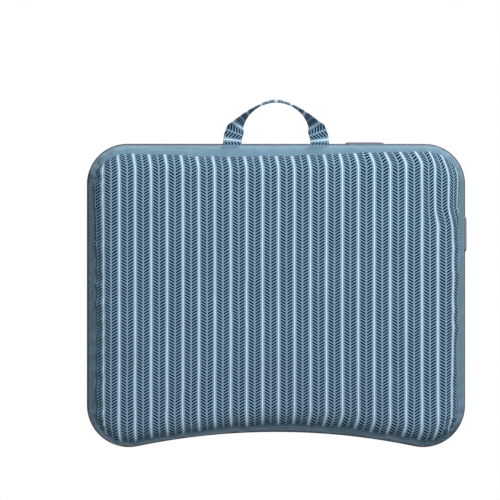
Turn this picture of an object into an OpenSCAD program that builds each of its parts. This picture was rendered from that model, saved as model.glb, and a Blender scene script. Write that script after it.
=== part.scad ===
// Lap desk: a laminated board with a phone tray, a corner band and a carrying handle,
// fixed on a stuffed cushion. It stands on the flat of its cushion. The handle is at the rear (+Y)
// and the edge that curves in for the lap is at the front (-Y).

/* [Board] */
// Width of the board
board_w = 450; // [420:5:500]
// Depth of the board, from the rear edge to the front corners
board_d = 361; // [340:1:400]
// Thickness of the fibreboard core
core_t = 8; // [6:0.5:12]
// Thickness of the wood-grain laminate
laminate_t = 0.8; // [0.5:0.1:1.2]
// Thickness of the edge band
edge_t = 1.2; // [0.9:0.1:2]
// Rounding on the outer corners of the edge band
edge_round = 0.8; // [0.3:0.1:0.8]
// Radius of the rear corners
rear_r = 48; // [46:1:60]
// Radius of the front corners
front_r = 50; // [46:1:60]
// How far the front edge curves in for the lap
lap_sag = 18; // [10:1:26]

/* [Phone tray] */
// Length of the tray over its rim
tray_l = 190; // [150:1:210]
// Width of the tray over its rim
tray_w = 38.3; // [34:0.1:44]
// Distance of the tray's centre to the right of the board's centre
tray_x = 105; // [80:1:108]
// Distance of the tray's centre from the rear edge
tray_from_rear = 38.4; // [36:0.1:60]
// Width of the slot that holds the phone
slot_w = 20; // [16:0.5:22]
// Depth of the slot below the top of the rim
slot_depth = 13; // [11:0.1:13.4]
// Height of the rim above the board
rim_h = 2.6; // [1.8:0.1:4]
// Rounding where the rim turns down into the slot
rim_round = 1.6; // [0.8:0.1:2]
// Width of the level stretch along the top of the rim
rim_land = 1.2; // [0.6:0.1:2]
// Height of the rim's outer edge
rim_lip = 0.7; // [0.4:0.1:1.2]
// Wall of the tray
tray_wall = 1.8; // [1.2:0.1:2.4]
// Length of a snap hook along the tray
hook_l = 9; // [6:0.5:14]
// Reach of a snap hook under the board
hook_out = 1.4; // [0.8:0.1:2]
// Distance between the snap hooks
hook_pitch = 50; // [40:1:60]

/* [Straps] */
// Distance between the two roots of the handle
handle_span = 104; // [90:1:120]
// How far the handle reaches beyond the rear edge
handle_reach = 52; // [44:1:60]
// Width of the handle strap
strap_w = 22; // [18:0.5:26]
// Thickness of the handle strap at its roots
strap_t = 1.6; // [1.2:0.1:1.8]
// Thickness of the handle strap along its arch
strap_full_t = 2.6; // [2:0.1:3.2]
// Turn of the strap between its root and the top of its arch, in degrees
strap_turn = 98; // [80:1:110]
// Thickness of the webbing inside the handle
webbing_t = 0.5; // [0.3:0.05:0.6]
// Width of the webbing inside the handle
webbing_w = 15; // [10:0.5:16]
// How far the handle runs in between the boards
handle_in = 22; // [18:1:23]
// Width of the corner band
band_w = 30; // [24:1:36]
// Thickness of the corner band
band_t = 1.4; // [1:0.1:1.5]
// How far the corner band runs in between the boards
band_in = 38; // [30:1:50]
// Distance of the band's centre from the rear edge, along the left edge
band_down = 107; // [100:1:125]
// Distance of the band's centre from the left edge, along the rear edge
band_along = 118.5; // [110:0.5:130]

/* [Cushion] */
// Height of the cushion, from its base to the backing board
cushion_h = 44; // [38:1:52]
// Height of the seam between the cushion's side strip and its face
seam_h = 17; // [15:1:20]
// Distance of that seam in from the edge of the board
seam_in = 12; // [10:0.5:14]
// How far the seam is drawn in between the corners
seam_draw = 1.5; // [0:0.5:3]
// How far that seam sits towards the front of the board
seam_forward = 2.5; // [0:0.5:4]
// How far the face runs inwards before it is level
shoulder_run = 28; // [22:1:28]
// Height of the crown of the face
crown_h = 3; // [2:0.5:6]
// Depth of the flat that the cushion rests on
base_flat = 0.5; // [0.3:0.1:0.8]
// How far the side strip bulges between its seams
side_bulge = 2.4; // [1:0.2:3]
// Thickness of the cover
cover_t = 1.2; // [0.8:0.1:1.4]
// Thickness of the inner bag
bag_t = 0.6; // [0.4:0.1:0.8]
// Thickness of the backing board
backing_t = 3; // [2.5:0.5:5]
// Distance of the backing board in from the edge of the desk board
backing_in = 3.2; // [3:0.1:4]
// Space between the two boards, where the straps and the tape are held
strap_gap = 2; // [2:0.1:3]

/* [Fastenings] */
// Width of the tape along the top of the cover
tape_w = 13; // [10:0.5:18]
// Distance between the staples in the tape
staple_pitch = 44; // [34:1:60]
// Width of a staple over its legs
staple_w = 10; // [8:0.5:12]
// Length of a staple's legs
staple_leg = 4; // [3.4:0.1:4.2]
// Size of the staple wire
wire = 0.7; // [0.5:0.1:0.8]
// Diameter of a screw's shank
screw_d = 3; // [2.5:0.1:4]
// Diameter of a screw's head
screw_head_d = 7.5; // [6:0.5:9]
// Height of a screw's head
screw_head_h = 1.8; // [1.4:0.1:2.2]
// Depth of a screw in the fibreboard
screw_bite = 5.5; // [4:0.1:5.5]
// Distance of the outer screws from the middle, across the board
screw_x = 168; // [150:1:175]
// Distance of the screws from the middle, along the board
screw_y = 102; // [95:1:108]

/* [Hidden] */
$fn = 64;

// Clearances: a soft piece beside its neighbour, a rigid fit, and a cut's run past a face
soft_gap = 0.3;
fit_gap = 0.15;
past = 1;

// Steps round each corner, for the rigid outline and for the soft pieces
board_steps = 16;
soft_steps = 7;
// Longest stretch between two points along a straight edge of a soft piece
soft_stretch = 64;

// Heights, from the surface that the desk stands on
backing_top = cushion_h + backing_t;
board_z = backing_top + strap_gap;
core_top = board_z + core_t;
top_z = core_top + laminate_t;
strap_z = backing_top + strap_gap / 2;

// The front edge is an arc that meets both front corner arcs
corner_x = board_w / 2 - front_r;
lap_span = (pow(corner_x, 2) + pow(lap_sag, 2)) / (2 * lap_sag);
lap_r = lap_span - front_r;
lap_turn = atan(corner_x / (lap_span - lap_sag));
lap_centre = [0, lap_sag - board_d / 2 - lap_r];
rear_y = board_d / 2;
left_x = -board_w / 2;

// Points on the edge of the board, each with its outward direction, anticlockwise from above
function spot(centre, r, a) = [centre + r * [cos(a), sin(a)], [cos(a), sin(a)]];
function turn(centre, r, from, to, steps) =
    [for (k = [0:steps]) spot(centre, r, from + (to - from) * k / steps)];
function stretch(a, b, out, longest) = let (n = ceil(norm(b - a) / longest))
    n < 2 ? [] : [for (k = [1:n - 1]) [a + (b - a) * k / n, out]];
function board_edge(steps, longest) = concat(
    turn([corner_x, front_r - rear_y], front_r, -90 - lap_turn, 0, steps),
    stretch([board_w / 2, front_r - rear_y], [board_w / 2, rear_y - rear_r], [1, 0], longest),
    turn([board_w / 2 - rear_r, rear_y - rear_r], rear_r, 0, 90, steps),
    stretch([board_w / 2 - rear_r, rear_y], [rear_r - board_w / 2, rear_y], [0, 1], longest),
    turn([rear_r - board_w / 2, rear_y - rear_r], rear_r, 90, 180, steps),
    stretch([left_x, rear_y - rear_r], [left_x, front_r - rear_y], [-1, 0], longest),
    turn([-corner_x, front_r - rear_y], front_r, 180, 270 + lap_turn, steps),
    [for (k = [1:2 * steps - 1]) let (s = spot(lap_centre, lap_r,
        90 + lap_turn * (1 - k / steps))) [s[0], -s[1]]]);
RIGID_EDGE = board_edge(board_steps, board_w + board_d);
SOFT_EDGE = board_edge(soft_steps, soft_stretch);

// The outline set in from the edge, for the rigid pieces and for one row of a soft piece
function inset(d) = [for (e = RIGID_EDGE) e[0] - d * e[1]];
function row(d, z) = [for (e = RIGID_EDGE) concat(e[0] - d * e[1], z)];

// A row of the cushion: share is 0 at the board and 1 at the lower seam, which is drawn in
// between the corners and sits a little forward
function mid_side(p) = 2 - pow(2 * p[0] / board_w, 2) - pow(2 * p[1] / board_d, 2);
function soft_row(d, z, share) = [for (e = SOFT_EDGE)
    concat(e[0] - (d + share * seam_draw * mid_side(e[0])) * e[1] - [0, share * seam_forward], z)];
function drawn(rows, part, z) = [for (p = rows) [p[0] * part, p[1] * part, z]];

// Closed skins over rows of points, drawn from the top row of the outside downwards:
// one that closes at a middle point at both ends, and one that runs round an open edge.
// On a twisted strap both faces are split along the same diagonal, so it keeps its thickness.
function mean(r) = [for (p = r) 1] * r / len(r);
function side_faces(a, b, n, strap = false) = [for (i = [0:n - 1]) let (k = (i + 1) % n)
    each strap && i >= n / 2 ? [[a + i, a + k, b + i], [a + k, b + k, b + i]]
        : [[a + i, a + k, b + k], [a + i, b + k, b + i]]];

module skin(rows, strap = false) {
    n = len(rows[0]);
    last = len(rows) - 1;
    top = n * (last + 1);
    polyhedron(concat([for (r = rows) each r], [mean(rows[0]), mean(rows[last])]), concat(
        [for (j = [0:last - 1]) each side_faces(j * n, (j + 1) * n, n, strap)],
        [for (i = [0:n - 1]) [top, (i + 1) % n, i]],
        [for (i = [0:n - 1]) [top + 1, last * n + i, last * n + (i + 1) % n]]));
}

module hoop(rows) {
    n = len(rows[0]);
    m = len(rows);
    polyhedron([for (r = rows) each r],
        [for (j = [0:m - 1]) each side_faces(j * n, (j + 1) % m * n, n)]);
}

// A slab of the desk's outline, set in by d, from one height to another
module slab(d, from, to) {
    translate([0, 0, from]) linear_extrude(to - from) polygon(inset(d));
}

// Board
module top_laminate() {
    color("#7a3a14") difference() {
        slab(edge_t, core_top, top_z);
        tray_cut(core_top - past, top_z + past);
    }
}

module desk_board() {
    color("#b08a5e") difference() {
        slab(edge_t, board_z, core_top);
        tray_cut(board_z - past, core_top + past);
        at_screws() cylinder(h = board_z + screw_bite + fit_gap, d = screw_d + fit_gap);
    }
}

// The edge band has its two outer corners rounded
module edge_band() {
    arc = [0, 30, 60, 90];
    hollow = edge_round;
    color("#3c1f10") hoop([
        for (a = arc) row(hollow * (1 - sin(a)), top_z - hollow * (1 - cos(a))),
        for (a = arc) row(hollow * (1 - cos(a)), board_z + hollow * (1 - sin(a))),
        row(edge_t, board_z),
        row(edge_t, top_z)]);
}

// Phone tray: one moulding, whose section runs straight between two half turns
tray_y = rear_y - tray_from_rear;
tray_straight = tray_l - tray_w;
slot_r = slot_w / 2;
trough_r = slot_r + tray_wall;
slot_floor = top_z + rim_h - slot_depth;
trough_bottom = slot_floor - tray_wall;
cut_r = trough_r + soft_gap;

module at_tray() {
    translate([tray_x, tray_y, 0]) children();
}

module tray_cut(from, to) {
    at_tray() translate([0, 0, from]) linear_extrude(to - from) {
        square([tray_straight, 2 * cut_r], center = true);
        for (s = [-1, 1]) translate([s * tray_straight / 2, 0]) circle(cut_r);
    }
}

function rounding(centre, r, from, to) =
    [for (k = [0:6]) centre + r * [cos(from + (to - from) * k / 6), sin(from + (to - from) * k / 6)]];

module tray_section() {
    rim_top = top_z + rim_h;
    foot = tray_wall * 0.8;
    polygon(concat(
        [[tray_w / 2, top_z], [tray_w / 2, top_z + rim_lip]],
        [[slot_r + rim_round + rim_land, rim_top]],
        rounding([slot_r + rim_round, rim_top - rim_round], rim_round, 90, 180),
        rounding([slot_r - foot, slot_floor + foot], foot, 0, -90),
        [[0, slot_floor], [0, trough_bottom]],
        rounding([trough_r - foot, trough_bottom + foot], foot, -90, 0),
        [[trough_r, top_z]]));
}

module snap_hook() {
    rotate([90, 0, 90]) linear_extrude(hook_l, center = true) polygon([
        [trough_r - tray_wall / 2, board_z - fit_gap],
        [trough_r + hook_out, board_z - fit_gap],
        [trough_r + hook_out, board_z - strap_gap / 2],
        [trough_r, backing_top + fit_gap],
        [trough_r - tray_wall / 2, backing_top + fit_gap]]);
}

module phone_tray() {
    color("#7f8b90") at_tray() {
        rotate([90, 0, 90]) linear_extrude(tray_straight, center = true) {
            tray_section();
            mirror([1, 0]) tray_section();
        }
        for (s = [-1, 1]) translate([s * tray_straight / 2, 0, 0]) rotate([0, 0, -90 * s])
            rotate_extrude(angle = 180) tray_section();
        for (x = [-1:1], side = [0, 180]) rotate([0, 0, side])
            translate([x * hook_pitch, 0, 0]) snap_hook();
    }
}

// Corner band: an elastic strip laid slantwise over the rear left corner, turned down over both
// edges and held between the boards. A section across an edge has its first coordinate outwards.
band_a = [left_x, rear_y - band_down];
band_b = [left_x + band_along, rear_y];
band_dir = (band_b - band_a) / norm(band_b - band_a);
band_side = [-band_dir[1], band_dir[0]];
band_out = soft_gap + band_t;
band_far = board_w;

module band_lane(width) {
    ends = [band_a - 2 * band_w * band_dir, band_b + 2 * band_w * band_dir];
    half = width / 2 * band_side;
    linear_extrude(2 * top_z) polygon([ends[0] - half, ends[1] - half, ends[1] + half, ends[0] + half]);
}

module over_rear() {
    translate([0, rear_y, 0]) rotate([90, 0, 90]) linear_extrude(2 * band_far, center = true) children();
}

module over_left() {
    translate([left_x, 0, 0]) rotate([0, 0, 90]) rotate([90, 0, 90])
        linear_extrude(2 * band_far, center = true) children();
}

module band_run_section() {
    low = top_z + soft_gap;
    translate([-band_far, low]) square([band_far + soft_gap, band_t]);
    intersection() {
        translate([soft_gap, low]) circle(band_t);
        translate([soft_gap - past, low]) square([past + band_t, band_t]);
    }
}

module band_end_section() {
    low = strap_z - band_t / 2;
    high = strap_z + band_t / 2;
    translate([soft_gap, high]) square([band_t, top_z - high]);
    translate([-band_in, low]) square([band_in + soft_gap, band_t]);
    intersection() {
        translate([soft_gap, high]) circle(band_t);
        translate([soft_gap, low]) square(band_t);
    }
}

module corner_band() {
    color("#7a7d86") intersection() {
        band_lane(band_w);
        over_rear() band_run_section();
        over_left() band_run_section();
    }
}

module corner_band_ends() {
    color("#70737c") difference() {
        intersection() {
            band_lane(band_w);
            union() {
                over_rear() band_end_section();
                over_left() band_end_section();
            }
        }
        at_band_staples() staple(wire_room);
    }
}

// Handle: a fabric sleeve over webbing, which leaves the boards flat and turns on edge at the top
// of its arch, which is a little more pointed than half an ellipse. It folds about a line just
// behind the rear edge.
fold_y = rear_y + strap_full_t / 2 + soft_gap;
fold_room = 1;
fold_end = 0.3;
arch_a = handle_span / 2;
arch_b = handle_reach - strap_full_t - soft_gap;
arch_steps = 36;
arch_power = 1.75;
flat_share = 0.165;
turn_power = 0.6;
turn_ease = 0.2;
thicken_share = 0.25;

function eased(v) = let (c = max(0, min(1, v))) c * c * (3 - 2 * c);
// How far along from the root, 0, to the top of the arch, 1
function up_arch(t) = 1 - abs(t / 90 - 1);
function bent(v, power) = sign(v) * pow(abs(v), power);
function arch_point(t) = [-arch_a * bent(cos(t), 2 / arch_power),
    fold_y + arch_b * bent(sin(t), 2 / arch_power), strap_z];
function arch_dir(t) = let (power = 2 - 2 / arch_power,
    d = [arch_a * bent(sin(t), power), arch_b * bent(cos(t), power), 0]) d / norm(d);
// The strap stays flat until it is clear of the board's edge, also when the handle is raised, and
// then turns soon.
function strap_turned(v) = strap_turn * sin(90 * pow(v, turn_power)) * eased(v / turn_ease);
function arch_row(t, shift, width, thick) = let (
    dir = arch_dir(t),
    turned = strap_turned(max(0, (up_arch(t) - flat_share) / (1 - flat_share))),
    across = cos(turned) * [dir[1], -dir[0], 0] + sin(turned) * [0, 0, 1],
    face = cross(across, dir),
    w = width / 2,
    h = thick / 2)
    [for (p = [[w, 0], [w - h, h], [0, h], [h - w, h], [-w, 0], [h - w, -h], [0, -h], [w - h, -h]])
        arch_point(t) + shift * dir + p[0] * across + p[1] * face];
function strap_thick(t) = strap_t + (strap_full_t - strap_t) * eased(up_arch(t) / thicken_share);
function arch_rows(width, thick, end) = [
    arch_row(0, -end, width, thick(0)),
    for (k = [1:arch_steps - 1]) arch_row(180 * k / arch_steps, 0, width, thick(180 * k / arch_steps)),
    arch_row(180, end, width, thick(180))];

module handle_loop() {
    color("#5f7f98") difference() {
        skin(arch_rows(strap_w, function(t) strap_thick(t), fold_end), true);
        skin(arch_rows(webbing_w + 2 * fit_gap, function(t) webbing_t + 2 * fit_gap, past), true);
    }
}

module handle_webbing() {
    color("#d8d8d4") skin(arch_rows(webbing_w, function(t) webbing_t, fold_end), true);
}

module handle_tails() {
    color("#5f7f98") difference() {
        for (s = [-1, 1]) translate([s * handle_span / 2 - strap_w / 2, rear_y - handle_in,
            strap_z - strap_t / 2]) cube([strap_w, fold_y - fold_room - rear_y + handle_in, strap_t]);
        at_handle_staples() staple(wire_room);
    }
}

// Staples: each crown is pressed level with the top of what it holds
wire_room = 0.05;
staple_top = board_z - wire_room;

module staple(room) {
    crown = [staple_w + 2 * room, wire + 2 * room, wire + room];
    leg = [wire + 2 * room, wire + 2 * room, staple_leg + wire + 2 * room];
    translate([-crown[0] / 2, -crown[1] / 2, staple_top - wire - room]) cube(crown + [0, 0, room]);
    for (s = [-1, 1]) translate([s * (staple_w - wire) / 2 - leg[0] / 2, -leg[1] / 2,
        staple_top - wire - staple_leg - room]) cube(leg);
}

module at_spot(spot) {
    translate([spot[0], spot[1], 0]) rotate([0, 0, spot[2]]) children();
}

module at_handle_staples() {
    for (s = [-1, 1], y = [0.3, 0.75]) at_spot([s * handle_span / 2, rear_y - y * handle_in, 0]) children();
}

module at_band_staples() {
    slant = atan2(band_dir[1], band_dir[0]) + 90;
    reach = band_in * 0.6;
    along_left = band_a + reach / band_dir[0] * band_dir;
    along_rear = band_b - reach / band_dir[1] * band_dir;
    for (p = [along_left, along_rear], s = [-1, 1])
        at_spot(concat(p + s * band_w / 4 * band_side, slant)) children();
}

// A run of staples every staple_pitch or so between two ends
function share_out(length) = let (n = max(1, round(length / staple_pitch)))
    [for (k = [0:n]) k / n - 0.5];
function band_apart(p) = abs((p - band_a) * band_side);
function free_spot(p) = band_apart(p) > (band_w + staple_w) / 2 + past
    && (p[1] < 0 || abs(abs(p[0]) - handle_span / 2) > (strap_w + staple_w) / 2 + past
        || p[1] < rear_y - tape_in - tape_w);
tape_in = 1.8;
tape_mid = tape_in + tape_w / 2;
side_run = board_d - rear_r - front_r;
side_mid = (front_r - rear_r) / 2;
rear_run = board_w - 2 * rear_r;
lap_run = 2 * lap_turn * PI / 180 * lap_r;
TAPE_SPOTS = [
    for (v = share_out(rear_run)) [v * rear_run, rear_y - tape_mid, 0],
    for (s = [-1, 1], v = share_out(side_run))
        [s * (board_w / 2 - tape_mid), side_mid + v * side_run, 90],
    for (v = share_out(lap_run)) let (a = 2 * lap_turn * v)
        [(lap_r + tape_mid) * sin(a), lap_centre[1] + (lap_r + tape_mid) * cos(a), -a]];

module at_tape_staples() {
    for (s = TAPE_SPOTS) if (free_spot([s[0], s[1]])) at_spot(s) children();
}

module tape_staples() {
    color("silver") at_tape_staples() staple(0);
}

module handle_staples() {
    color("silver") at_handle_staples() staple(0);
}

module corner_band_staples() {
    color("silver") at_band_staples() staple(0);
}

// The cover's upper edge is bound with tape, which stops on each side of a strap
module cover_tape() {
    color("#55748a") difference() {
        slab(tape_in, backing_top, board_z);
        slab(tape_in + tape_w, backing_top - past, board_z + past);
        band_lane(band_w + 2 * past);
        for (s = [-1, 1]) translate([s * handle_span / 2 - strap_w / 2 - past,
            rear_y - handle_in - past, backing_top - past])
            cube([strap_w + 2 * past, handle_in + 2 * past, strap_gap + 2 * past]);
        at_tape_staples() staple(wire_room);
    }
}

// Backing board, screwed up into the desk board from inside the cushion
module at_screws() {
    for (x = [-screw_x, 0, screw_x], y = [-screw_y, screw_y]) translate([x, y, 0]) children();
}

module backing_board() {
    color("#9a7b55") difference() {
        slab(backing_in, cushion_h, backing_top);
        tray_cut(cushion_h - past, backing_top + past);
        at_screws() cylinder(h = board_z, d = screw_d + fit_gap);
        at_tape_staples() staple(wire_room);
        at_band_staples() staple(wire_room);
        at_handle_staples() staple(wire_room);
    }
}

module backing_screws() {
    edge = screw_head_h * 0.4;
    low = cushion_h - screw_head_h;
    color("silver") at_screws() {
        translate([0, 0, cushion_h]) cylinder(h = board_z + screw_bite - cushion_h, d = screw_d);
        difference() {
            rotate_extrude() polygon([[0, low], [screw_head_d / 2 - edge, low],
                [screw_head_d / 2, low + edge], [screw_head_d / 2, cushion_h], [0, cushion_h]]);
            for (a = [0, 90]) rotate([0, 0, a]) translate([0, 0, low])
                cube([screw_head_d * 0.55, screw_head_d * 0.14, screw_head_h], center = true);
        }
    }
}

// Cushion: the cover's side strip rolls round the backing board, bulges, and meets the face at a
// seam. The face turns over a shoulder on to its crown. A profile point is
// [distance in, height, share of the way to the seam].
roll_in = 1.5;
crease = [3.3, cushion_h - 1.6];
seam = [seam_in, seam_h];
slope = (seam[0] - crease[0]) / (crease[1] - seam[1]);
strip_out = [seam[1] - crease[1], crease[0] - seam[0]] / norm(seam - crease);
shoulder_drop = seam_h - crown_h + base_flat;
INNER_STEPS = 4;

function strip_point(t, o) = let (p = crease + t * (seam - crease)
    + (side_bulge * sin(180 * t) - o) * strip_out) [p[0], max(p[1], seam_h + fit_gap), t];
function shoulder(t, o) = [seam_in + o + (shoulder_run - o) * (1 - cos(t)),
    seam_h - fit_gap - (shoulder_drop - fit_gap - o) * sin(t), 1];
function at_height(z, o) = [crease[0] + (crease[1] - z) * slope + o * sqrt(1 + slope * slope), z,
    (crease[1] - z) / (crease[1] - seam_h)];
function soft(p) = soft_row(p[0], p[1], p[2]);

// Shoulder and crown, from the seam down to the middle. The pieces inside the cover start in
// from its side strip.
function face_rows(steps, parts, o) = concat(
    [soft(o > cover_t ? at_height(seam_h + fit_gap, o) : shoulder(0, o))],
    [for (k = [1:steps]) soft(shoulder(90 * k / steps, o))],
    [for (v = parts) drawn(soft(shoulder(90, o)), v, o - base_flat + crown_h * pow(v, 3))]);
function upwards(rows) = [for (i = [len(rows) - 1:-1:0]) rows[i]];

module cushion_side_strip() {
    top = backing_top - soft_gap;
    beside = backing_in - soft_gap - fit_gap;
    low = seam_h + fit_gap;
    color("#6d8ea3") hoop([for (p = concat(
        [[(roll_in + beside) / 2, top, 0], [roll_in, top - 0.8, 0], [roll_in, cushion_h + 0.4, 0]],
        [[(roll_in + crease[0]) / 2 - 0.3, crease[1] + 0.6, 0], [crease[0], crease[1], 0]],
        [for (t = [0.18, 0.4, 0.65, 0.87]) strip_point(t, 0)],
        [[seam_in, low, 1], [seam_in + cover_t * sqrt(1 + slope * slope), low, 1]],
        [for (t = [0.75, 0.4]) strip_point(t, cover_t)],
        [[crease[0] + cover_t * 0.7, crease[1] + cover_t * 0.7, 0], [beside, cushion_h, 0],
        [beside, top, 0]])) soft(p)]);
}

module cushion_face() {
    color("#6b8ca6") difference() {
        skin(concat(
            upwards(face_rows(INNER_STEPS, [0.6, 0.25], cover_t)),
            face_rows(6, [0.8, 0.56, 0.3], 0)));
        translate([-board_w, -board_d, -board_d]) cube([2 * board_w, 2 * board_d, board_d]);
    }
}

// The filling lies in a bag of its own, sewn to a flat top
bag_out = cover_t + soft_gap;
bag_rim = cushion_h - screw_head_h - soft_gap - bag_t;
fill_out = bag_out + bag_t + soft_gap;

module inner_bag() {
    inside = bag_out + bag_t;
    color("#e8e6df") skin(concat(
        upwards(face_rows(INNER_STEPS, [0.6, 0.25], inside)),
        [soft(at_height(bag_rim, inside)), soft(at_height(bag_rim, bag_out))],
        face_rows(INNER_STEPS, [0.6, 0.25], bag_out)));
}

module inner_bag_top() {
    color("#f0eee8") translate([0, 0, bag_rim + wire_room]) linear_extrude(bag_t)
        polygon([for (p = soft(at_height(bag_rim, bag_out))) [p[0], p[1]]]);
}

module cushion_fill() {
    color("white") skin(concat(
        [soft(at_height(bag_rim - soft_gap, fill_out))],
        face_rows(INNER_STEPS, [0.6, 0.25], fill_out)));
}

top_laminate();
desk_board();
edge_band();
phone_tray();
corner_band();
corner_band_ends();
corner_band_staples();
handle_loop();
handle_webbing();
handle_tails();
handle_staples();
backing_board();
backing_screws();
cover_tape();
tape_staples();
cushion_side_strip();
cushion_face();
inner_bag();
inner_bag_top();
cushion_fill();
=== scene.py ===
"""Lap desk: the fabric, the elastic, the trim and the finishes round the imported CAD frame.

Lengths are in metres and the axes are the frame's: +Z up through the board, +Y to the rear edge
with the handle, +X to the right seen from above. Helper functions work in millimetres."""

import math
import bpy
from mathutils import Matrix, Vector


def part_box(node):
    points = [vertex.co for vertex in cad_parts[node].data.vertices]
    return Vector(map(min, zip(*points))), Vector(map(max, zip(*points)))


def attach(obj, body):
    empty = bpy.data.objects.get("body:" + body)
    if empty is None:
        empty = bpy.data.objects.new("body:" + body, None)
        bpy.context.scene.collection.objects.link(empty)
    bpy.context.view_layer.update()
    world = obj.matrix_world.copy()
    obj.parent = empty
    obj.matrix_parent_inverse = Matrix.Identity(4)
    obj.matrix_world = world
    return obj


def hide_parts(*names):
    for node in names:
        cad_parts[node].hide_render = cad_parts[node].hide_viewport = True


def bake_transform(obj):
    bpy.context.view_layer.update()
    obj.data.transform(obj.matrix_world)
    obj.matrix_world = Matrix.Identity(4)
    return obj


bl_info = {
    "name": "Lap desk",
    "version": (1, 0, 0),
    "blender": (4, 5, 0),
    "location": "3D View > Sidebar > Lap desk",
    "description": "Dresses the frame of a lap desk with its cushion, straps, trim and finishes",
    "category": "Object",
}

import bmesh
import bpy
import numpy as np
from mathutils import Matrix, Vector

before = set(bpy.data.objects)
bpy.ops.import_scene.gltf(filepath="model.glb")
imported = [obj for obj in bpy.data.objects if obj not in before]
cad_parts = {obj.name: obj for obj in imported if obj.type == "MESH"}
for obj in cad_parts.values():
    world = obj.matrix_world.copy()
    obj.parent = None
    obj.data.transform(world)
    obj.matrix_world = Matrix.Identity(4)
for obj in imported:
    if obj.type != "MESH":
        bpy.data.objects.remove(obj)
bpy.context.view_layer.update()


def height(node, top=True):
    """Height of a CAD node's top or bottom, in millimetres."""
    return 1000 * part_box(node)[1 if top else 0][2]


# Heights and places of the CAD frame that the new pieces sit on, in millimetres
TOP_Z = height("top_laminate")
BOARD_Z = height("desk_board", top=False)
BACKING_TOP = height("backing_board")
CUSHION_TOP = height("backing_board", top=False)
STRAP_Z = (BACKING_TOP + BOARD_Z) / 2
REAR_Y = 1000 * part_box("edge_band")[1][1]
LEFT_X = 1000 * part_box("edge_band")[0][0]


# Settings


def length(name, description, mm, low, high):
    """A length for the sidebar. It is stated in millimetres and kept in metres."""
    return bpy.props.FloatProperty(name=name, description=description, default=mm / 1000,
                                   min=low / 1000, max=high / 1000, unit="LENGTH", precision=4)


def tint(name, description, value):
    """A colour for the sidebar, from its sRGB hex value."""
    return bpy.props.FloatVectorProperty(name=name, description=description, subtype="COLOR",
                                         size=3, min=0, max=1, default=linear(value)[:3])


def linear(value):
    """Linear red, green, blue and alpha of an sRGB hex colour such as "#7296aa"."""
    channels = [int(value[i:i + 2], 16) / 255 for i in (1, 3, 5)]
    return tuple(c / 12.92 if c <= 0.04045 else ((c + 0.055) / 1.055) ** 2.4
                 for c in channels) + (1.0,)


class LapDeskSizes(bpy.types.PropertyGroup):
    """Sizes of the desk's trim, straps and cushion"""

    rear_radius: length("Rear corners", "Radius of the board's rear corners", 48, 46, 60)
    front_radius: length("Front corners", "Radius of the board's front corners", 50, 46, 60)
    lap_sag: length("Lap curve", "How far the front edge curves in", 18, 10, 26)
    edge_round: length("Edge rounding", "Rounding on the edge band", 0.8, 0.3, 0.8)
    edge_thickness: length("Edge band", "Thickness of the edge band", 1.2, 0.9, 2)
    seam_in: length("Face seam inset", "Distance of the face seam in from the board's edge",
                    12, 10, 14)
    seam_height: length("Face seam height", "Height of the face seam", 17, 15, 20)
    side_bulge: length("Side bulge", "How far the side strip bulges between its seams", 2.6, 1, 4)
    shoulder_run: length("Shoulder", "How far the face runs in before it is level", 28, 22, 30)
    pucker: length("Pucker depth", "Depth of the gathers along the seams", 0.7, 0, 1.5)
    band_width: length("Elastic width", "Width of the corner band", 30, 24, 36)
    band_thickness: length("Elastic thickness", "Thickness of the corner band", 1.4, 1, 1.5)
    strap_width: length("Strap width", "Width of the handle strap", 22, 18, 26)
    stripe_pitch: length("Stripe pitch", "Distance between two stripes of the cloth", 18.7, 10, 40)
    dash_pitch: length("Dash pitch", "Distance between two dashes of the herringbone", 3.7, 2, 8)


class LapDeskColours(bpy.types.PropertyGroup):
    """Colours of the desk's finishes"""

    walnut: tint("Walnut", "Middle tone of the printed wood grain", "#6a2b06")
    cloth: tint("Cloth", "Ground of the herringbone cloth", "#86a7bd")
    dash: tint("Dashes", "Dashes of the herringbone", "#00203a")
    stripe: tint("Stripes", "Stripes of the cloth", "#d6efff")
    side: tint("Side strip", "Plain cloth of the cushion's side", "#6f92a6")
    elastic: tint("Elastic", "Corner band", "#777a84")
    tray: tint("Tray", "Moulded phone tray", "#66757b")


def sizes():
    """The sizes in the sidebar, in millimetres."""
    group = bpy.context.scene.lap_desk_sizes
    return {key: 1000 * getattr(group, key) for key in LapDeskSizes.__annotations__}


def colour(name):
    """A colour in the sidebar, as linear red, green, blue and alpha."""
    return (*getattr(bpy.context.scene.lap_desk_colours, name), 1.0)


# Shapes


def smooth(v):
    """Smoothstep of a value that is held between 0 and 1."""
    v = np.clip(v, 0, 1)
    return v * v * (3 - 2 * v)


def ripple(s, whole, shortest, longest, seed):
    """Even waviness along a closed line of length whole: a sum of cosines of every whole number
    of turns whose wavelength lies between two lengths, with seeded phases, scaled to 1 rms."""
    turns = np.arange(math.ceil(whole / longest), int(whole / shortest) + 1)
    phases = np.random.default_rng(seed).uniform(0, 2 * np.pi, len(turns))
    waves = np.cos(2 * np.pi * np.asarray(s)[..., None] * turns / whole + phases)
    return waves.sum(-1) / math.sqrt(len(turns) / 2)


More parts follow.
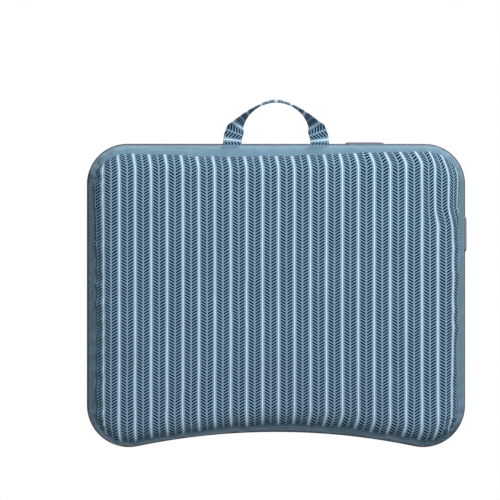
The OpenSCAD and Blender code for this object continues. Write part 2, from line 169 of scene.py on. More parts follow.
class Outline:
    """The board's edge, anticlockwise from above: a corner arc, a straight side, a corner arc and
    so on, closed by the long front arc that curves in for the lap. It is held as a dense table
    of points and outward directions against the distance along the edge."""

    def __init__(self, size):
        w, d, rf, rr = -LEFT_X, REAR_Y, size["front_radius"], size["rear_radius"]
        cx = w - rf
        span = (cx * cx + size["lap_sag"] ** 2) / (2 * size["lap_sag"])
        lap_r = span - rf
        turn = math.degrees(math.atan2(cx, span - size["lap_sag"]))
        lap_y = size["lap_sag"] - d - lap_r

        def arc(x, y, r, a, b):
            t = np.radians(np.linspace(a, b, 1200, endpoint=False))
            out = np.stack([np.cos(t), np.sin(t)], 1)
            return np.array([x, y]) + r * out, out * np.sign(b - a)

        def line(a, b, out):
            t = np.linspace(0, 1, 1200, endpoint=False)[:, None]
            return (1 - t) * np.array(a) + t * np.array(b), np.tile(out, (1200, 1)).astype(float)

        parts = [arc(cx, rf - d, rf, -90 - turn, 0), line([w, rf - d], [w, d - rr], [1, 0]),
                 arc(w - rr, d - rr, rr, 0, 90), line([w - rr, d], [rr - w, d], [0, 1]),
                 arc(rr - w, d - rr, rr, 90, 180), line([-w, d - rr], [-w, rf - d], [-1, 0]),
                 arc(-cx, rf - d, rf, 180, 270 + turn), arc(0, lap_y, lap_r, 90 + turn, 90 - turn)]
        self.points = np.concatenate([p for p, _ in parts])
        self.outward = np.concatenate([n for _, n in parts])
        steps = np.linalg.norm(np.roll(self.points, -1, 0) - self.points, axis=1)
        self.far = np.concatenate([[0], np.cumsum(steps)])
        self.whole = self.far[-1]
        self.starts = self.far[::1200][:8]

    def at(self, s):
        """Points and outward directions at distances s along the edge."""
        s = np.mod(s, self.whole)
        table = np.concatenate([self.points, self.outward], 1)
        table = np.concatenate([table, table[:1]])
        found = np.stack([np.interp(s, self.far, table[:, k]) for k in range(4)], -1)
        out = found[..., 2:]
        return found[..., :2], out / np.linalg.norm(out, axis=-1, keepdims=True)


def grid(points, uv=None, round_rows=False, round_columns=False):
    """A sheet of a piece: points by row and column, closed on itself along its rows or columns
    where that is asked. Its faces point along (row direction) x (column direction)."""
    return {"points": np.asarray(points, float), "uv": uv,
            "round_rows": round_rows, "round_columns": round_columns}


def make_piece(name, sheets, sharp=40):
    """One mesh object from grids in millimetres. Each grid's quads are joined corner to corner,
    and points that coincide are merged, which closes seams and poles."""
    verts, quads, uvs, first = [], [], [], 0
    for sheet in sheets:
        rows, columns = sheet["points"].shape[:2]
        i, j = np.meshgrid(np.arange(rows - (not sheet["round_rows"])),
                           np.arange(columns - (not sheet["round_columns"])), indexing="ij")
        a, b = (i + 1) % rows, (j + 1) % columns
        quads.append(first + np.stack([i * columns + j, a * columns + j, a * columns + b,
                                       i * columns + b], -1).reshape(-1, 4))
        if sheet["uv"] is None:
            uvs.append(np.zeros((i.size * 4, 2)))
        else:
            uv = sheet["uv"]
            uvs.append(np.stack([uv[i, j], uv[i + 1, j], uv[i + 1, j + 1], uv[i, j + 1]],
                                2).reshape(-1, 2))
        verts.append(sheet["points"].reshape(-1, 3))
        first += rows * columns
    verts, quads, uvs = (np.concatenate(x) for x in (verts, quads, uvs))
    mesh = bpy.data.meshes.new(name)
    mesh.vertices.add(len(verts))
    mesh.vertices.foreach_set("co", (verts / 1000).ravel())
    mesh.loops.add(quads.size)
    mesh.loops.foreach_set("vertex_index", quads.ravel().astype(np.int32))
    mesh.polygons.add(len(quads))
    mesh.polygons.foreach_set("loop_start", np.arange(0, quads.size, 4, dtype=np.int32))
    mesh.update(calc_edges=True)
    layer = mesh.uv_layers.new(name="cloth")
    layer.data.foreach_set("uv", (uvs / 1000).ravel())
    shape = bmesh.new()
    shape.from_mesh(mesh)
    bmesh.ops.remove_doubles(shape, verts=shape.verts, dist=1e-6)
    bmesh.ops.dissolve_degenerate(shape, edges=shape.edges, dist=1e-7)
    shape.to_mesh(mesh)
    shape.free()
    mesh.shade_smooth()
    mesh.set_sharp_from_angle(angle=math.radians(sharp))
    piece = bpy.data.objects.new(name, mesh)
    bpy.context.scene.collection.objects.link(piece)
    return piece


def swept(outline, profile, step):
    """A profile of (inset, height, forward shift) rows carried round the board's edge. Each row
    may be a number or an array over the columns. The columns are step apart."""
    count = int(outline.whole / step)
    s = np.arange(count) * outline.whole / count
    p, n = outline.at(s)
    rows = []
    for inset, z, forward in profile(s, p):
        xy = p - np.reshape(inset, (-1, 1)) * n - np.stack([0 * s, forward + 0 * s], -1)
        rows.append(np.column_stack([xy, z + 0 * s]))
    points = np.array(rows)
    gaps = np.linalg.norm(np.diff(points, axis=0), axis=2)
    down = np.vstack([np.zeros(count), np.cumsum(gaps, 0)])
    along = np.append(s, outline.whole)
    uv = np.stack([np.broadcast_to(along, (len(rows), count + 1)),
                   np.column_stack([down, down[:, :1]])], -1)
    return points, uv


# Materials


def plug(tree, node, sockets):
    """Sets a node's inputs, by name or number, each to a value, a socket, or a node whose first
    output is meant."""
    for key, value in sockets.items():
        if isinstance(value, bpy.types.Node):
            value = value.outputs[0]
        if isinstance(value, bpy.types.NodeSocket):
            tree.links.new(value, node.inputs[key])
        else:
            node.inputs[key].default_value = value


def add(tree, kind, sockets=None, stops=(), **settings):
    """Adds a node with its settings and its inputs, as plug takes them. stops gives a colour
    ramp's positions and colours in rising order, each colour an sRGB hex value or linear."""
    node = tree.nodes.new("ShaderNode" + kind)
    for key, value in settings.items():
        setattr(node, key, value)
    if stops:
        elements = node.color_ramp.elements
        elements[0].position, elements[1].position = stops[0][0], stops[-1][0]
        for position, _ in stops[1:-1]:
            elements.new(position)
        for element, (_, value) in zip(elements, stops):
            element.color = linear(value) if isinstance(value, str) else value
    plug(tree, node, sockets or {})
    return node


def new_material(name, **constants):
    """An empty material with a Principled shader whose constant sockets are set here. Returns
    the material, its tree and the shader."""
    material = bpy.data.materials.new(name)
    material.use_nodes = True
    tree = material.node_tree
    tree.nodes.clear()
    shader = add(tree, "BsdfPrincipled")
    for key, value in constants.items():
        shader.inputs[key.replace("_", " ")].default_value = value
    add(tree, "OutputMaterial", {"Surface": shader})
    return material, tree, shader


def in_millimetres(tree, source="Object"):
    """Coordinates in millimetres, from the object or from the piece's own UV map."""
    if source == "UV":
        place = add(tree, "UVMap", uv_map="cloth")
    else:
        place = add(tree, "TexCoord").outputs[source]
    return add(tree, "Mapping", {"Vector": place, "Scale": (1000, 1000, 1000)})


def walnut_laminate():
    """Satin decor laminate with a printed walnut grain: the eye sees fine straight streaks along
    the board, darker and lighter bands that wander a little, and short dark pores."""
    material, tree, shader = new_material("walnut_laminate", Roughness=0.42,
                                          Specular_IOR_Level=0.05)
    place = in_millimetres(tree)
    sway = add(tree, "TexNoise", {"Vector": add(tree, "Mapping", {
        "Vector": place, "Scale": (0.007, 0.011, 1)}), "Scale": 1.0, "Detail": 2.0})
    bent = add(tree, "VectorMath", {0: place, 1: add(tree, "VectorMath", {
        0: sway.outputs["Color"], 1: (0, 16, 0)}, operation="MULTIPLY")}, operation="ADD")
    # Waves in a millimetre along and across the grain, octaves and how rough they are
    bands, streaks, threads, pores = (
        add(tree, "TexNoise", {"Vector": add(tree, "Mapping", {
            "Vector": bent, "Scale": (along, across, 1)}), "Scale": 1.0, "Detail": octaves,
            "Roughness": rough}).outputs["Fac"]
        for along, across, octaves, rough in ((0.0022, 0.04, 3.0, 0.5), (0.005, 0.3, 4.0, 0.7),
                                              (0.016, 1.1, 2.0, 0.5), (0.11, 1.7, 1.0, 0.5)))
    grain = add(tree, "Math", {0: streaks, 1: 0.4}, operation="MULTIPLY")
    for lines, share in ((bands, 0.36), (threads, 0.24)):
        grain = add(tree, "Math", {0: lines, 1: share, 2: grain}, operation="MULTIPLY_ADD")
    tones = add(tree, "ValToRGB", {0: grain}, stops=[
        (0.36, "#3c1303"), (0.44, "#581f03"), (0.5, colour("walnut")), (0.56, "#79380c"),
        (0.64, "#935020")])
    specks = add(tree, "ValToRGB", {0: pores}, stops=[(0.3, "#8a8a8a"), (0.42, "#ffffff")])
    shown = add(tree, "Mix", {0: 0.6, 6: tones, 7: specks}, data_type="RGBA",
                blend_type="MULTIPLY")
    plug(tree, shader, {"Base Color": shown.outputs[2], "Normal": add(tree, "Bump", {
        "Height": pores, "Strength": 0.12, "Distance": 0.0001})})
    return material


def raw_fibreboard():
    """Raw fibreboard: pressed fibres give a matt, mottled tan."""
    material, tree, shader = new_material("raw_fibreboard", Roughness=0.85)
    fibres = add(tree, "TexNoise", {"Vector": in_millimetres(tree), "Scale": 0.9, "Detail": 6.0})
    plug(tree, shader, {
        "Base Color": add(tree, "ValToRGB", {0: fibres.outputs["Fac"]},
                          stops=[(0.35, "#8a6b48"), (0.65, "#b39067")]),
        "Normal": add(tree, "Bump", {"Height": fibres.outputs["Fac"], "Strength": 0.3,
                                     "Distance": 0.0002})})
    return material


def edge_banding():
    """Thin dark brown ABS edging: satin, with faint streaks along it."""
    material, tree, shader = new_material("abs_edge_banding", Roughness=0.42)
    streaks = add(tree, "TexNoise", {"Vector": add(tree, "Mapping", {
        "Vector": in_millimetres(tree), "Scale": (0.05, 0.05, 1.6)}), "Scale": 1.0,
        "Detail": 3.0})
    plug(tree, shader, {"Base Color": add(tree, "ValToRGB", {0: streaks.outputs["Fac"]},
                                          stops=[(0.35, "#241008"), (0.65, "#3d1d0e")])})
    return material


def tray_plastic():
    """Matt ABS moulded against a spark-eroded mould: a fine even grain that scatters the shine."""
    material, tree, shader = new_material("matt_moulded_abs", Roughness=0.5,
                                          Specular_IOR_Level=0.2)
    place = in_millimetres(tree)
    mottle = add(tree, "TexNoise", {"Vector": place, "Scale": 0.03, "Detail": 2.0})
    grit = add(tree, "TexNoise", {"Vector": place, "Scale": 1.4, "Detail": 2.0})
    plug(tree, shader, {
        "Base Color": add(tree, "HueSaturation", {"Color": colour("tray"), "Value": add(
            tree, "MapRange", {0: mottle.outputs["Fac"], 1: 0.3, 2: 0.7, 3: 0.94, 4: 1.06})}),
        "Normal": add(tree, "Bump", {"Height": grit.outputs["Fac"], "Strength": 0.25,
                                     "Distance": 0.0001})})
    return material


def knitted_elastic():
    """Knitted elastic: ribs along its length and a finer cross knit. Its colour follows their
    relief, with painted shade in the grooves and a painted lighter tone on the crowns, and a
    random fuzz in its tone as well.
    The real ribs are about 0.8 mm apart, and are drawn 1.5 mm apart so that they show."""
    material, tree, shader = new_material("knitted_elastic", Roughness=0.8,
                                          Specular_IOR_Level=0.25, Sheen_Weight=0.1,
                                          Sheen_Roughness=0.4)
    place = in_millimetres(tree, "UV")
    parts = add(tree, "SeparateXYZ", {0: place})
    ribs = add(tree, "Math", {0: parts.outputs[1], 1: 0.75}, operation="PINGPONG")
    knit = add(tree, "Math", {0: parts.outputs[0], 1: 0.6}, operation="PINGPONG")
    fuzz = add(tree, "TexNoise", {"Vector": place, "Scale": 0.8, "Detail": 3.0})
    relief = add(tree, "Math", {0: ribs, 1: add(tree, "Math", {0: knit, 1: 0.5},
                 operation="MULTIPLY")}, operation="ADD")
    # Painted shade: the ribs' and knit's relief darkens the colour in their grooves and lightens
    # it on their crowns; the fuzz adds a random tone
    value = add(tree, "MapRange", {0: add(tree, "Math", {0: relief, 1: fuzz.outputs["Fac"]},
                operation="ADD"), 1: 0.2, 2: 1.6, 3: 0.86, 4: 1.1})
    plug(tree, shader, {
        "Base Color": add(tree, "HueSaturation", {"Color": colour("elastic"), "Value": value}),
        "Normal": add(tree, "Bump", {"Height": relief, "Strength": 0.6, "Distance": 0.0004})})
    return material


def steel(name, roughness):
    """Zinc-plated steel with fine drawing marks."""
    material, tree, shader = new_material(name, Metallic=1.0, Roughness=roughness)
    marks = add(tree, "TexNoise", {"Vector": in_millimetres(tree), "Scale": 1.5, "Detail": 4.0})
    plug(tree, shader, {"Base Color": add(tree, "ValToRGB", {0: marks.outputs["Fac"]},
                                          stops=[(0.3, "#a9abad"), (0.7, "#c9cbcd")])})
    return material


def plain_weave(tree, place, parts, grain, patches, light):
    """What both plain-woven cloths have, from places in millimetres and their parts: the relief
    of the threads and slubs, and how light the slubs and wider patches are. grain is the slubs'
    scale and octaves, patches is the patches' scale, and light is the range of each."""
    warp, weft = (add(tree, "Math", {0: parts.outputs[k], 1: 0.6}, operation="PINGPONG")
                  for k in (0, 1))
    slubs = add(tree, "TexNoise", {"Vector": place, "Scale": grain[0], "Detail": grain[1],
                                   "Roughness": 0.7})
    clouds = add(tree, "TexNoise", {"Vector": place, "Scale": patches, "Detail": 2.0})
    fine, broad = (add(tree, "MapRange", {0: noise.outputs["Fac"], 1: 0.3, 2: 0.7, 3: low,
                                          4: high})
                   for noise, (low, high) in zip((slubs, clouds), light))
    relief = add(tree, "Math", {0: add(tree, "Math", {0: warp, 1: weft}, operation="ADD"),
                                1: slubs.outputs["Fac"]}, operation="ADD")
    return relief, add(tree, "Math", {0: fine, 1: broad}, operation="MULTIPLY")


def plain_cloth():
    """Plain-woven polyester of the cushion's side: a soft matt dusty blue with a fine weave and
    a little fuzz. The threads are about 0.4 mm apart, and are drawn 1.2 mm apart so that they
    show."""
    material, tree, shader = new_material("plain_woven_cloth", Roughness=0.9,
                                          Specular_IOR_Level=0.15, Sheen_Weight=0.1,
                                          Sheen_Roughness=0.5)
    place = in_millimetres(tree, "UV")
    relief, value = plain_weave(tree, place, add(tree, "SeparateXYZ", {0: place}), (0.5, 5.0),
                                0.02, ((0.9, 1.08), (0.94, 1.05)))
    plug(tree, shader, {
        "Base Color": add(tree, "HueSaturation", {"Color": colour("side"), "Value": value}),
        "Normal": add(tree, "Bump", {"Height": relief, "Strength": 0.35, "Distance": 0.0003})})
    return material


def herringbone_cloth():
    """Printed cotton: pale stripes a set pitch apart, and between each two of them a spine with
    slanting dashes on both sides, dark on a blue ground. The real dashes are 3.2 mm apart, and
    are drawn 3.7 mm apart so that they show. The cloth is plain-woven, with a matt surface,
    slubs and a little fuzz. The pattern's first coordinate runs across the stripes."""
    size = sizes()
    half, pitch = size["stripe_pitch"] / 2, size["dash_pitch"]
    material, tree, shader = new_material("herringbone_cloth", Roughness=0.9,
                                          Specular_IOR_Level=0.03, Sheen_Weight=0.01,
                                          Sheen_Roughness=0.5)
    place = in_millimetres(tree, "UV")
    sway = add(tree, "TexNoise", {"Vector": place, "Scale": 0.25, "Detail": 1.0})
    shifted = add(tree, "VectorMath", {0: place, 1: add(tree, "VectorMath", {
        0: sway.outputs["Color"], 1: (0.5, 0.5, 0)}, operation="MULTIPLY")}, operation="ADD")
    parts = add(tree, "SeparateXYZ", {0: shifted})
    from_stripe = add(tree, "Math", {0: parts.outputs[0], 1: half}, operation="PINGPONG")
    from_spine = add(tree, "Math", {0: half, 1: from_stripe}, operation="SUBTRACT")
    slant = add(tree, "Math", {0: from_spine, 1: -0.65, 2: parts.outputs[1]},
                operation="MULTIPLY_ADD")
    from_dash = add(tree, "Math", {0: slant, 1: pitch / 2}, operation="PINGPONG")
    # Soft edges of the print: 0 at the first distance and 1 at the second, in millimetres
    stripe, inner, outer, bar = (
        add(tree, "MapRange", {0: distance, 1: none, 2: full, 3: 0.0, 4: 1.0})
        for distance, none, full in ((from_stripe, 0.9, 0.5), (from_spine, 0.6, 1.2),
                                     (from_spine, 7.3, 6.5),
                                     (from_dash, 0.35 * pitch, 0.27 * pitch)))
    dash = add(tree, "Math", {0: bar, 1: add(tree, "Math", {0: inner, 1: outer},
               operation="MULTIPLY")}, operation="MULTIPLY")
    printed = colour("cloth")
    for share, ink in ((dash, "dash"), (stripe, "stripe")):
        printed = add(tree, "Mix", {0: share, 6: printed, 7: colour(ink)},
                      data_type="RGBA").outputs[2]
    relief, value = plain_weave(tree, place, parts, (0.7, 4.0), 0.018,
                                ((0.88, 1.1), (0.95, 1.05)))
    plug(tree, shader, {
        "Base Color": add(tree, "HueSaturation", {"Color": printed, "Value": value}),
        "Normal": add(tree, "Bump", {"Height": relief, "Strength": 0.3, "Distance": 0.0003})})
    return material


def white_cloth(name, value, scale):
    """White non-woven or webbing cloth: matt, with a fine random fibre."""
    material, tree, shader = new_material(name, Roughness=0.9, Sheen_Weight=0.2)
    fibres = add(tree, "TexNoise", {"Vector": in_millimetres(tree), "Scale": scale,
                                    "Detail": 5.0})
    plug(tree, shader, {
        "Base Color": add(tree, "HueSaturation", {"Color": linear(value), "Value": add(
            tree, "MapRange", {0: fibres.outputs["Fac"], 1: 0.3, 2: 0.7, 3: 0.9, 4: 1.05})}),
        "Normal": add(tree, "Bump", {"Height": fibres.outputs["Fac"], "Strength": 0.4,
                                     "Distance": 0.0003})})
    return material


def bead_filling():
    """Loose polystyrene beads, 3 to 4 mm across: white, with a cell to each bead. Each cell is
    painted lighter in its middle and darker towards its rim, which is painted shade between the
    beads.
    """
    material, tree, shader = new_material("bead_filling", Roughness=0.6)
    beads = add(tree, "TexVoronoi", {"Vector": in_millimetres(tree), "Scale": 0.28})
    # Painted shade: the colour darkens from each bead's middle out to its rim, where the beads
    # shade one another
    plug(tree, shader, {
        "Base Color": add(tree, "ValToRGB", {0: beads.outputs["Distance"]},
                          stops=[(0.1, "#f7f7f5"), (0.9, "#c9c9c6")]),
        "Normal": add(tree, "Bump", {"Height": beads.outputs["Distance"], "Strength": 0.8,
                                     "Distance": 0.001}, invert=True)})
    return material


def finish_with(target, material):
    """Puts one material on every slot of an object."""
    if target.data.materials:
        for k in range(len(target.data.materials)):
            target.material_slots[k].material = material
    else:
        target.data.materials.append(material)


def finish_nodes(material, *nodes):
    """Gives CAD nodes a material."""
    for name in nodes:
        finish_with(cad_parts[name], material)


# Steps, each an operator with the shapes that it needs


class LAPDESK_OT_boards(bpy.types.Operator):
    """Give the laminate, the two boards and the phone tray their finishes"""

    bl_idname = "lapdesk.boards"
    bl_label = "Boards and tray"

    def execute(self, context):
        finish_nodes(walnut_laminate(), "top_laminate")
        finish_nodes(raw_fibreboard(), "desk_board", "backing_board")
        finish_nodes(tray_plastic(), "phone_tray")
        return {"FINISHED"}


class LAPDESK_OT_edge_band(bpy.types.Operator):
    """Carry the edge band's rounded section round the board"""

    bl_idname = "lapdesk.edge_band"
    bl_label = "Edge band"

    def execute(self, context):
        size = sizes()
        r, inner = size["edge_round"], size["edge_thickness"]

        def profile(s, p):
            """Down the outside over two quarter turns, and back up the inside."""
            a = np.radians(np.linspace(0, 90, 7))
            over = [(r * (1 - math.sin(t)), TOP_Z - r * (1 - math.cos(t)), 0) for t in a]
            under = [(r * (1 - math.cos(t)), BOARD_Z + r * (1 - math.sin(t)), 0) for t in a]
            return over + under + [(inner, BOARD_Z, 0), (inner, TOP_Z, 0)]

        points, uv = swept(Outline(size), profile, 3)
        band = make_piece("edge_banding", [grid(points, round_rows=True, round_columns=True,
                          uv=np.concatenate([uv, uv[-1:]]))])
        finish_with(band, edge_banding())
        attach(band, "desk")
        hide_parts("edge_band")
        return {"FINISHED"}


# The corner band: where its middle line crosses the left and the rear edge, measured from the
# rear left corner of the plain outline, how far it runs in between the boards, and its gap
BAND_DOWN, BAND_ALONG, BAND_IN, BAND_GAP = 107.0, 118.5, 38, 0.3


def band_path():
    """The elastic's lane in plan: where its middle line crosses the left and the rear edge, its
    direction, and its direction across."""
    a = np.array([LEFT_X, REAR_Y - BAND_DOWN])
    b = np.array([LEFT_X + BAND_ALONG, REAR_Y])
    along = (b - a) / np.linalg.norm(b - a)
    return a, b, along, np.array([-along[1], along[0]])


def elastic_half(name, rear):
    """Half of the corner band, from the middle of its run over one edge to its stapled end. In
    section it is a run on top, a quarter turn, a wall down the edge, a quarter turn and a tail
    between the boards. Its lane stays the same in plan. A ring of points goes round its
    rounded thickness, where the first and last of them lie on the middle line."""
    size = sizes()
    a, b, along, across = band_path()
    thick, width = size["band_thickness"], size["band_width"]
    turn_r = BAND_GAP + thick / 2
    start, direction = (b, -along) if rear else (a, along)
    inward = np.array([0, -1.0]) if rear else np.array([1.0, 0])
    side = -across if rear else across
    half_run = np.linalg.norm(b - a) / 2
    lane = np.linspace(-0.5, 0.5, 31)
    edge = 1 - np.abs(2 * lane) ** 12
    ring_u = np.concatenate([lane, lane[::-1]]) * width
    ring_h = np.concatenate([np.sqrt(edge), -np.sqrt(edge[::-1])]) * thick / 2
    run_z = TOP_Z + turn_r
    into, cross_into = direction @ inward, side @ inward

    rows, lengths = [], []
    for share in np.linspace(1, 0, 60):
        v = share * half_run - (1 - share) * ring_u * cross_into / into
        xy = start + v[:, None] * direction + ring_u[:, None] * side
        rows.append(np.column_stack([xy, run_z + ring_h]))
        lengths.append((1 - share) * half_run)
    quarter = np.radians(np.linspace(0, 90, 8))[1:]
    section = [(-turn_r * math.sin(t), run_z - turn_r * (1 - math.cos(t)), t) for t in quarter]
    section += [(-turn_r, z, math.pi / 2)
                for z in np.linspace(run_z - turn_r, STRAP_Z + turn_r, 5)[1:]]
    section += [(-turn_r * math.cos(t), STRAP_Z + turn_r * (1 - math.sin(t)), math.pi / 2 + t)
                for t in quarter]
    section += [(x, STRAP_Z, math.pi) for x in np.linspace(0, BAND_IN, 12)[1:]]
    before = np.array([0.0, run_z])
    for x, z, tilt in section:
        depth = x - ring_h * math.sin(tilt)
        v = (depth - ring_u * cross_into) / into
        xy = start + v[:, None] * direction + ring_u[:, None] * side
        rows.append(np.column_stack([xy, z + ring_h * math.cos(tilt)]))
        lengths.append(lengths[-1] + float(np.hypot(*(np.array([x, z]) - before))))
        before = np.array([x, z])
    points = np.array(rows)
    middle = points[[0, -1]].mean(1, keepdims=True) + 0 * points[[0, -1]]
    points = np.concatenate([middle[:1], points, middle[1:]])
    lengths = np.array([lengths[0]] + lengths + [lengths[-1]])
    uv = np.stack(np.broadcast_arrays(lengths[:, None],
                                      np.append(ring_u, ring_u[0])[None, :]), -1)
    piece = make_piece(name, [grid(points, uv=uv, round_columns=True)], sharp=60)
    point_outwards(piece)
    return piece, start, start + half_run * direction


def point_outwards(piece):
    """Turns a closed shell's faces outwards."""
    shape = bmesh.new()
    shape.from_mesh(piece.data)
    bmesh.ops.recalc_face_normals(shape, faces=shape.faces)
    shape.to_mesh(piece.data)
    shape.free()


class LAPDESK_OT_corner_band(bpy.types.Operator):
    """Lay the corner band over the board, in two halves that each run from a stapled end to the
    middle
    """

    bl_idname = "lapdesk.corner_band"
    bl_label = "Corner band"

    def execute(self, context):
        elastic = knitted_elastic()
        for name, rear in (("elastic_left_half", False), ("elastic_rear_half", True)):
            half, root, middle = elastic_half(name, rear)
            finish_with(half, elastic)
            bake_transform(half)
            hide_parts("corner_band", "corner_band_ends")
        return {"FINISHED"}


# The handle: where its arch starts, the arch's half width, reach and roundness, how far its
# tails run in between the boards, and the strap's thickness in them and along the arch
FOLD_Y = REAR_Y + 1.6
ARCH_A, ARCH_B, ARCH_POWER = 52.0, 49.1, 1.75
TAIL_IN, TAIL_THICK, ARCH_THICK = 22, 1.6, 2.6
# Its turn about its own line, in degrees at the top of the arch: the share of the way up where
# the turn starts, how fast it grows from there, and the share over which it eases in
TURN, TURN_START, TURN_POWER, TURN_EASE = 98, 0.165, 0.6, 0.2


def strap_rows(width, count=170):
    """The handle as rings of points along its path: a tail between the boards, the arch, and the
    other tail. The arch is half an oval, |x/a|^p + |y/b|^p = 1, on which the strap turns from
    flat at its roots to on edge at the top. The ring is a flat oval with a slight swell between
    two sewn edges."""
    tail = np.linspace(REAR_Y - FOLD_Y - TAIL_IN, -0.8, 14)
    ends = np.zeros(len(tail))
    t = np.radians(np.linspace(0, 180, count))
    sin, cos = np.sin(t).clip(0), np.cos(t)
    centre = np.column_stack([-ARCH_A * np.sign(cos) * np.abs(cos) ** (2 / ARCH_POWER),
                              FOLD_Y + ARCH_B * sin ** (2 / ARCH_POWER)])
    bend = 2 - 2 / ARCH_POWER
    dirs = np.column_stack([ARCH_A * sin ** bend, ARCH_B * np.sign(cos) * np.abs(cos) ** bend])
    dirs /= np.linalg.norm(dirs, axis=1, keepdims=True)
    up = 1 - np.abs(t / (np.pi / 2) - 1)
    centre = np.concatenate([np.column_stack([ends - ARCH_A, FOLD_Y + tail]), centre,
                             np.column_stack([ends + ARCH_A, FOLD_Y + tail[::-1]])])
    dirs = np.concatenate([np.column_stack([ends, ends + 1]), dirs,
                           np.column_stack([ends, ends - 1])])
    up = np.concatenate([ends, up, ends])
    far_up = ((up - TURN_START) / (1 - TURN_START)).clip(0)
    turned = (np.radians(TURN) * np.sin(np.pi / 2 * far_up ** TURN_POWER)
              * smooth(far_up / TURN_EASE))
    across = np.column_stack([np.cos(turned) * dirs[:, 1], -np.cos(turned) * dirs[:, 0],
                              np.sin(turned)])
    face = np.cross(across, np.column_stack([dirs, 0 * up]))
    a = np.linspace(0, 2 * np.pi, 48, endpoint=False)
    u = np.sign(np.cos(a)) * np.abs(np.cos(a)) ** 0.55
    swell = 0.62 + 0.38 * smooth((1 - np.abs(u)) / 0.35)
    h = np.sign(np.sin(a)) * np.abs(np.sin(a)) ** 0.45 * swell
    thick = TAIL_THICK + (ARCH_THICK - TAIL_THICK) * smooth(up / 0.25)
    centre = np.column_stack([centre, 0 * up + STRAP_Z])
    points = (centre[:, None] + width / 2 * u[None, :, None] * across[:, None]
              + (thick / 2)[:, None, None] * h[None, :, None] * face[:, None])
    far = np.concatenate([[0], np.cumsum(np.linalg.norm(np.diff(centre, axis=0), axis=1))])
    round_it = np.append(np.where(np.sin(a) >= 0, 0, width) + width / 2 * u
                         * np.where(np.sin(a) >= 0, 1, -1), width / 2)
    uv = np.stack(np.broadcast_arrays(far[:, None] - far[-1] / 2, round_it[None, :]), -1)
    middle = points[[0, -1]].mean(1, keepdims=True) + 0 * points[[0, -1]]
    return (np.concatenate([middle[:1], points, middle[1:]]),
            np.concatenate([uv[:1], uv, uv[-1:]]))


class LAPDESK_OT_handle(bpy.types.Operator):
    """Make the carrying handle in the herringbone cloth, its arch starting just behind the rear
    edge
    """

    bl_idname = "lapdesk.handle"
    bl_label = "Handle"

    def execute(self, context):
        points, uv = strap_rows(sizes()["strap_width"])
        handle = make_piece("handle_strap", [grid(points, uv=uv, round_columns=True)], sharp=70)
        point_outwards(handle)
        finish_with(handle, bpy.data.materials.get("herringbone_cloth") or herringbone_cloth())
        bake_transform(handle)
        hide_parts("handle_loop", "handle_tails")
        finish_nodes(white_cloth("woven_webbing", "#dcdcd6", 1.2), "handle_webbing")
        return {"FINISHED"}


def mid_side(p):
    """1 at the middle of a side of the board and less towards its corners."""
    return 2 - (p[..., 0] / LEFT_X) ** 2 - (p[..., 1] / REAR_Y) ** 2


# Where the face seam, sewn by hand and eye, strays from its even line: places near the board's
# edge, and how much further in the seam lies there, all in millimetres
WANDER = ((181, 180, -2.5), (62, 180, 0.3), (-10, 180, -0.5), (-82, 180, -3.8),
          (-124, 180, -4.6), (-176, 175, -5.2), (-225, 109, -2.7), (-225, 37, -2.9),
          (-225, -34, -1.5), (-225, -105, -1.4), (-176, -175, -0.2), (-129, -172, -0.6),
          (-81, -166, -0.3), (-10, -162, 0.1), (86, -167, -2.4), (134, -172, -3.4),
          (176, -176, -1.5), (225, -105, 0), (225, 4, -0.2), (225, 85, -2.6), (225, 121, -2.4))


# How far the seam is drawn in between the corners
SEAM_DRAW = 1.5


def seam_shift(outline, s, p):
    """How much further in than its plain inset the face seam lies: drawn in between the
    corners, and straying along a closed line through WANDER that is averaged over a bell."""
    knots = np.array(WANDER)
    gaps = ((outline.points[:, None] - knots[None, :, :2]) ** 2).sum(2)
    even = np.arange(0, outline.whole, 1.0)
    stray = np.interp(even, outline.far[gaps.argmin(0)], knots[:, 2], period=outline.whole)
    bell = np.exp(-0.5 * (np.arange(-40, 41) / 13) ** 2)
    stray = np.convolve(np.concatenate([stray[-40:], stray, stray[:40]]), bell / bell.sum(),
                        "valid")
    return (SEAM_DRAW * mid_side(p) + np.interp(s, even, stray, period=outline.whole)
            + 0.3 * ripple(s, outline.whole, 45, 160, 3))


def groove(p):
    """Depth of the groove along the face seam, in millimetres: deepest where the strip bulges
    over the face at the rear, and where a fold gapes in the middle of the front."""
    x, y = p[..., 0], p[..., 1]
    rear = (y > 100) * smooth((-x - 25) / 22) * smooth((x + 165) / 22)
    front = (y < -100) * np.exp(-((x + 9) / 13) ** 2)
    return 0.4 + 0.7 * rear + 0.5 * front


def cornering(p):
    """1 round the corners of the board and 0 along its sides."""
    return smooth((np.abs(p[..., 0]) - 165) / 30) * smooth((np.abs(p[..., 1]) - 118) / 30)


# The cushion: how far its seam sits towards the front, where the side strip leaves the backing
# board (inset and height), the thickness of its cloth, and the spacing of the points
SEAM_FORWARD = 2.5
CREASE = (3.3, CUSHION_TOP - 1.6)
CLOTH = 0.9
STRIP_STEP, FACE_STEP = 2.4, 2.2
# The roll of the strip over the backing board's edge: inset and height of its middle, and half
# its height
ROLL_IN, ROLL_Z, ROLL_R = 2.75, CUSHION_TOP + 1.3, 1.35
# The face's crown and the depth of the flat that the desk stands on
CROWN, FLAT_DEPTH = 3.0, 0.5


